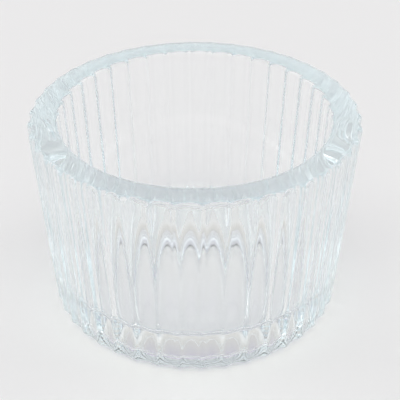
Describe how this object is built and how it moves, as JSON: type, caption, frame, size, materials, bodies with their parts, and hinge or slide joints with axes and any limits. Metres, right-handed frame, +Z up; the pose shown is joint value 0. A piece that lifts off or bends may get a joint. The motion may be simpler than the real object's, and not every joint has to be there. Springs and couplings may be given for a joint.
{
  "type": "tealight holder",
  "caption": "Round tealight holder of clear pressed glass: a slightly flared cup with concave flutes round the outside, a flat rim and a thick base domed underneath.",
  "frame": {"origin": "centre of the underside of the standing ring, on the table", "axes": "+Z up along the axis of the cup; a ridge between two flutes lies on +X"},
  "size_m": [0.08, 0.0798, 0.0505],
  "materials": {
    "clear_glass": "polished, fire-polished rim"
  },
  "bodies": {
    "root": {"glass_body": "clear_glass"}
  },
  "joints": []
}
